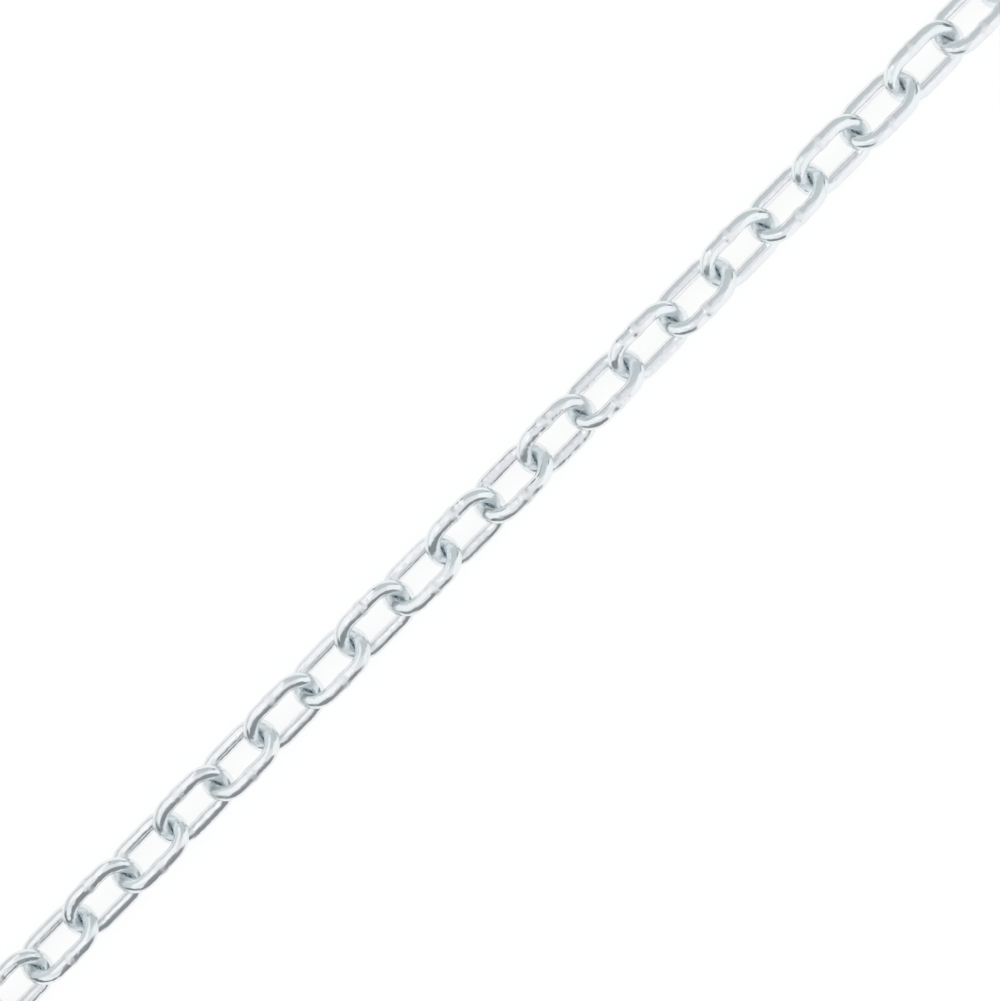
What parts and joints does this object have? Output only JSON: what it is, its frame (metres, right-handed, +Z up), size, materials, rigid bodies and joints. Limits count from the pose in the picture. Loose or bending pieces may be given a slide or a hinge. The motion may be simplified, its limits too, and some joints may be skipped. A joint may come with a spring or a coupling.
{
  "type": "steel chain",
  "caption": "Straight run of bright zinc-plated welded steel chain with plain oval links that lean left and right in turn, laid flat, every link free to swing in the next.",
  "frame": {"origin": "under the middle of the run, on the surface that the chain lies on", "axes": "+X along the chain, +Z up from the surface, +Y across the chain"},
  "size_m": [0.9946, 0.0172, 0.014],
  "materials": {
    "zinc": "bright zinc plating, glossy, with fine drawing marks and a dull butt weld"
  },
  "bodies": {
    "link_01": {"link_01": "zinc"},
    "link_02": {"link_02": "zinc"},
    "link_03": {"link_03": "zinc"},
    "link_04": {"link_04": "zinc"},
    "link_05": {"link_05": "zinc"},
    "link_06": {"link_06": "zinc"},
    "link_07": {"link_07": "zinc"},
    "link_08": {"link_08": "zinc"},
    "link_09": {"link_09": "zinc"},
    "link_10": {"link_10": "zinc"},
    "link_11": {"link_11": "zinc"},
    "link_12": {"link_12": "zinc"},
    "link_13": {"link_13": "zinc"},
    "link_14": {"link_14": "zinc"},
    "link_15": {"link_15": "zinc"},
    "link_16": {"link_16": "zinc"},
    "link_17": {"link_17": "zinc"},
    "link_18": {"link_18": "zinc"},
    "link_19": {"link_19": "zinc"},
    "link_20": {"link_20": "zinc"},
    "link_21": {"link_21": "zinc"},
    "link_22": {"link_22": "zinc"},
    "link_23": {"link_23": "zinc"},
    "link_24": {"link_24": "zinc"},
    "link_25": {"link_25": "zinc"},
    "link_26": {"link_26": "zinc"},
    "link_27": {"link_27": "zinc"},
    "link_28": {"link_28": "zinc"},
    "link_29": {"link_29": "zinc"},
    "link_30": {"link_30": "zinc"},
    "link_31": {"link_31": "zinc"},
    "link_32": {"link_32": "zinc"},
    "link_33": {"link_33": "zinc"},
    "link_34": {"link_34": "zinc"},
    "link_35": {"link_35": "zinc"},
    "link_36": {"link_36": "zinc"},
    "link_37": {"link_37": "zinc"},
    "link_38": {"link_38": "zinc"},
    "link_39": {"link_39": "zinc"},
    "link_40": {"link_40": "zinc"},
    "link_41": {"link_41": "zinc"},
    "link_42": {"link_42": "zinc"},
    "link_43": {"link_43": "zinc"},
    "link_44": {"link_44": "zinc"},
    "link_45": {"link_45": "zinc"},
    "link_46": {"link_46": "zinc"},
    "link_47": {"link_47": "zinc"},
    "link_48": {"link_48": "zinc"}
  },
  "joints": [
    {"name": "swing_25", "type": "hinge", "parent": "link_24", "child": "link_25", "pos_m": [0.00275, 0, 0.00697], "axis": [0, -0.7986, 0.6018], "range_deg": [-90, 90]},
    {"name": "swing_26", "type": "hinge", "parent": "link_25", "child": "link_26", "pos_m": [0.02325, 0, 0.00697], "axis": [0, 0.7986, 0.6018], "range_deg": [-90, 90]},
    {"name": "swing_27", "type": "hinge", "parent": "link_26", "child": "link_27", "pos_m": [0.04375, 0, 0.00697], "axis": [0, 0.7986, -0.6018], "range_deg": [-90, 90]},
    {"name": "swing_28", "type": "hinge", "parent": "link_27", "child": "link_28", "pos_m": [0.06425, 0, 0.00697], "axis": [0, -0.7986, -0.6018], "range_deg": [-90, 90]},
    {"name": "swing_29", "type": "hinge", "parent": "link_28", "child": "link_29", "pos_m": [0.08475, 0, 0.00697], "axis": [0, -0.7986, 0.6018], "range_deg": [-90, 90]},
    {"name": "swing_30", "type": "hinge", "parent": "link_29", "child": "link_30", "pos_m": [0.10525, 0, 0.00697], "axis": [0, 0.7986, 0.6018], "range_deg": [-90, 90]},
    {"name": "swing_31", "type": "hinge", "parent": "link_30", "child": "link_31", "pos_m": [0.12575, 0, 0.00697], "axis": [0, 0.7986, -0.6018], "range_deg": [-90, 90]},
    {"name": "swing_32", "type": "hinge", "parent": "link_31", "child": "link_32", "pos_m": [0.14625, 0, 0.00697], "axis": [0, -0.7986, -0.6018], "range_deg": [-90, 90]},
    {"name": "swing_33", "type": "hinge", "parent": "link_32", "child": "link_33", "pos_m": [0.16675, 0, 0.00697], "axis": [0, -0.7986, 0.6018], "range_deg": [-90, 90]},
    {"name": "swing_34", "type": "hinge", "parent": "link_33", "child": "link_34", "pos_m": [0.18725, 0, 0.00697], "axis": [0, 0.7986, 0.6018], "range_deg": [-90, 90]},
    {"name": "swing_35", "type": "hinge", "parent": "link_34", "child": "link_35", "pos_m": [0.20775, 0, 0.00697], "axis": [0, 0.7986, -0.6018], "range_deg": [-90, 90]},
    {"name": "swing_36", "type": "hinge", "parent": "link_35", "child": "link_36", "pos_m": [0.22825, 0, 0.00697], "axis": [0, -0.7986, -0.6018], "range_deg": [-90, 90]},
    {"name": "swing_37", "type": "hinge", "parent": "link_36", "child": "link_37", "pos_m": [0.24875, 0, 0.00697], "axis": [0, -0.7986, 0.6018], "range_deg": [-90, 90]},
    {"name": "swing_38", "type": "hinge", "parent": "link_37", "child": "link_38", "pos_m": [0.26925, 0, 0.00697], "axis": [0, 0.7986, 0.6018], "range_deg": [-90, 90]},
    {"name": "swing_39", "type": "hinge", "parent": "link_38", "child": "link_39", "pos_m": [0.28975, 0, 0.00697], "axis": [0, 0.7986, -0.6018], "range_deg": [-90, 90]},
    {"name": "swing_40", "type": "hinge", "parent": "link_39", "child": "link_40", "pos_m": [0.31025, 0, 0.00697], "axis": [0, -0.7986, -0.6018], "range_deg": [-90, 90]},
    {"name": "swing_41", "type": "hinge", "parent": "link_40", "child": "link_41", "pos_m": [0.33075, 0, 0.00697], "axis": [0, -0.7986, 0.6018], "range_deg": [-90, 90]},
    {"name": "swing_42", "type": "hinge", "parent": "link_41", "child": "link_42", "pos_m": [0.35125, 0, 0.00697], "axis": [0, 0.7986, 0.6018], "range_deg": [-90, 90]},
    {"name": "swing_43", "type": "hinge", "parent": "link_42", "child": "link_43", "pos_m": [0.37175, 0, 0.00697], "axis": [0, 0.7986, -0.6018], "range_deg": [-90, 90]},
    {"name": "swing_44", "type": "hinge", "parent": "link_43", "child": "link_44", "pos_m": [0.39225, 0, 0.00697], "axis": [0, -0.7986, -0.6018], "range_deg": [-90, 90]},
    {"name": "swing_45", "type": "hinge", "parent": "link_44", "child": "link_45", "pos_m": [0.41275, 0, 0.00697], "axis": [0, -0.7986, 0.6018], "range_deg": [-90, 90]},
    {"name": "swing_46", "type": "hinge", "parent": "link_45", "child": "link_46", "pos_m": [0.43325, 0, 0.00697], "axis": [0, 0.7986, 0.6018], "range_deg": [-90, 90]},
    {"name": "swing_47", "type": "hinge", "parent": "link_46", "child": "link_47", "pos_m": [0.45375, 0, 0.00697], "axis": [0, 0.7986, -0.6018], "range_deg": [-90, 90]},
    {"name": "swing_48", "type": "hinge", "parent": "link_47", "child": "link_48", "pos_m": [0.47425, 0, 0.00697], "axis": [0, -0.7986, -0.6018], "range_deg": [-90, 90]},
    {"name": "swing_23", "type": "hinge", "parent": "link_24", "child": "link_23", "pos_m": [-0.02325, 0, 0.00697], "axis": [0, 0.7986, -0.6018], "range_deg": [-90, 90]},
    {"name": "swing_22", "type": "hinge", "parent": "link_23", "child": "link_22", "pos_m": [-0.04375, 0, 0.00697], "axis": [0, 0.7986, 0.6018], "range_deg": [-90, 90]},
    {"name": "swing_21", "type": "hinge", "parent": "link_22", "child": "link_21", "pos_m": [-0.06425, 0, 0.00697], "axis": [0, -0.7986, 0.6018], "range_deg": [-90, 90]},
    {"name": "swing_20", "type": "hinge", "parent": "link_21", "child": "link_20", "pos_m": [-0.08475, 0, 0.00697], "axis": [0, -0.7986, -0.6018], "range_deg": [-90, 90]},
    {"name": "swing_19", "type": "hinge", "parent": "link_20", "child": "link_19", "pos_m": [-0.10525, 0, 0.00697], "axis": [0, 0.7986, -0.6018], "range_deg": [-90, 90]},
    {"name": "swing_18", "type": "hinge", "parent": "link_19", "child": "link_18", "pos_m": [-0.12575, 0, 0.00697], "axis": [0, 0.7986, 0.6018], "range_deg": [-90, 90]},
    {"name": "swing_17", "type": "hinge", "parent": "link_18", "child": "link_17", "pos_m": [-0.14625, 0, 0.00697], "axis": [0, -0.7986, 0.6018], "range_deg": [-90, 90]},
    {"name": "swing_16", "type": "hinge", "parent": "link_17", "child": "link_16", "pos_m": [-0.16675, 0, 0.00697], "axis": [0, -0.7986, -0.6018], "range_deg": [-90, 90]},
    {"name": "swing_15", "type": "hinge", "parent": "link_16", "child": "link_15", "pos_m": [-0.18725, 0, 0.00697], "axis": [0, 0.7986, -0.6018], "range_deg": [-90, 90]},
    {"name": "swing_14", "type": "hinge", "parent": "link_15", "child": "link_14", "pos_m": [-0.20775, 0, 0.00697], "axis": [0, 0.7986, 0.6018], "range_deg": [-90, 90]},
    {"name": "swing_13", "type": "hinge", "parent": "link_14", "child": "link_13", "pos_m": [-0.22825, 0, 0.00697], "axis": [0, -0.7986, 0.6018], "range_deg": [-90, 90]},
    {"name": "swing_12", "type": "hinge", "parent": "link_13", "child": "link_12", "pos_m": [-0.24875, 0, 0.00697], "axis": [0, -0.7986, -0.6018], "range_deg": [-90, 90]},
    {"name": "swing_11", "type": "hinge", "parent": "link_12", "child": "link_11", "pos_m": [-0.26925, 0, 0.00697], "axis": [0, 0.7986, -0.6018], "range_deg": [-90, 90]},
    {"name": "swing_10", "type": "hinge", "parent": "link_11", "child": "link_10", "pos_m": [-0.28975, 0, 0.00697], "axis": [0, 0.7986, 0.6018], "range_deg": [-90, 90]},
    {"name": "swing_09", "type": "hinge", "parent": "link_10", "child": "link_09", "pos_m": [-0.31025, 0, 0.00697], "axis": [0, -0.7986, 0.6018], "range_deg": [-90, 90]},
    {"name": "swing_08", "type": "hinge", "parent": "link_09", "child": "link_08", "pos_m": [-0.33075, 0, 0.00697], "axis": [0, -0.7986, -0.6018], "range_deg": [-90, 90]},
    {"name": "swing_07", "type": "hinge", "parent": "link_08", "child": "link_07", "pos_m": [-0.35125, 0, 0.00697], "axis": [0, 0.7986, -0.6018], "range_deg": [-90, 90]},
    {"name": "swing_06", "type": "hinge", "parent": "link_07", "child": "link_06", "pos_m": [-0.37175, 0, 0.00697], "axis": [0, 0.7986, 0.6018], "range_deg": [-90, 90]},
    {"name": "swing_05", "type": "hinge", "parent": "link_06", "child": "link_05", "pos_m": [-0.39225, 0, 0.00697], "axis": [0, -0.7986, 0.6018], "range_deg": [-90, 90]},
    {"name": "swing_04", "type": "hinge", "parent": "link_05", "child": "link_04", "pos_m": [-0.41275, 0, 0.00697], "axis": [0, -0.7986, -0.6018], "range_deg": [-90, 90]},
    {"name": "swing_03", "type": "hinge", "parent": "link_04", "child": "link_03", "pos_m": [-0.43325, 0, 0.00697], "axis": [0, 0.7986, -0.6018], "range_deg": [-90, 90]},
    {"name": "swing_02", "type": "hinge", "parent": "link_03", "child": "link_02", "pos_m": [-0.45375, 0, 0.00697], "axis": [0, 0.7986, 0.6018], "range_deg": [-90, 90]},
    {"name": "swing_01", "type": "hinge", "parent": "link_02", "child": "link_01", "pos_m": [-0.47425, 0, 0.00697], "axis": [0, -0.7986, 0.6018], "range_deg": [-90, 90]}
  ]
}
